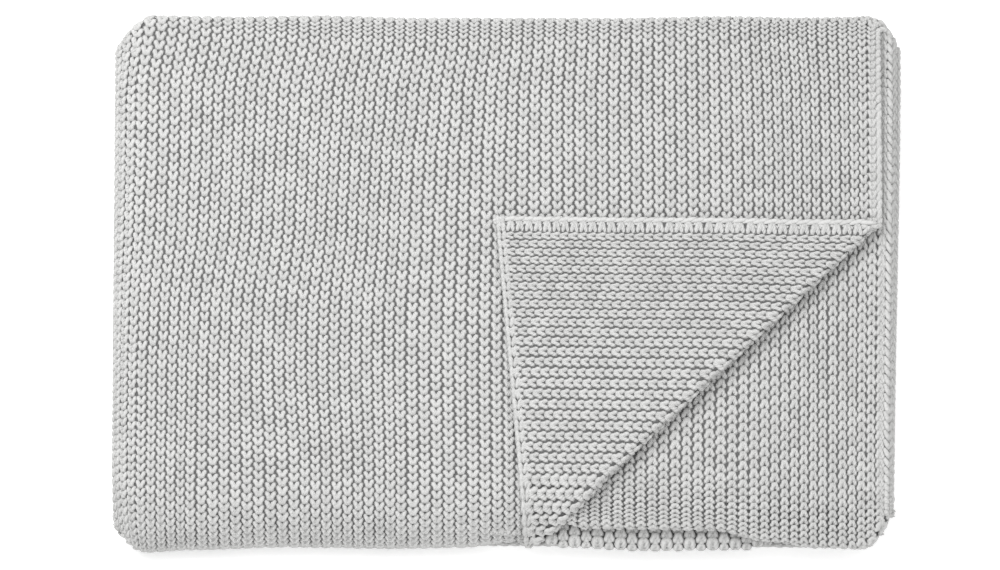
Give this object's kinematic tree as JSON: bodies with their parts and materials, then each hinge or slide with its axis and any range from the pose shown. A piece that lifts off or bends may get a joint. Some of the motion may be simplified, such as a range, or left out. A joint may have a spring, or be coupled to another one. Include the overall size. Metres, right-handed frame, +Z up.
{
  "type": "folded knit throw blanket",
  "caption": "Chunky moss-stitch knit throw blanket in pale grey, folded into a flat rectangular pack with one corner turned back over the top.",
  "frame": {"origin": "under the middle of the folded pack, on the surface that it lies on", "axes": "+X along the long side, away from the round fold; +Y toward the far folds, away from the hem with the turned-back corner; +Z up"},
  "size_m": [0.65, 0.4432, 0.0702],
  "materials": {
    "yarn": "matt, soft plied yarn in pale neutral grey"
  },
  "bodies": {
    "root": {"throw_blanket": "yarn"}
  },
  "joints": []
}
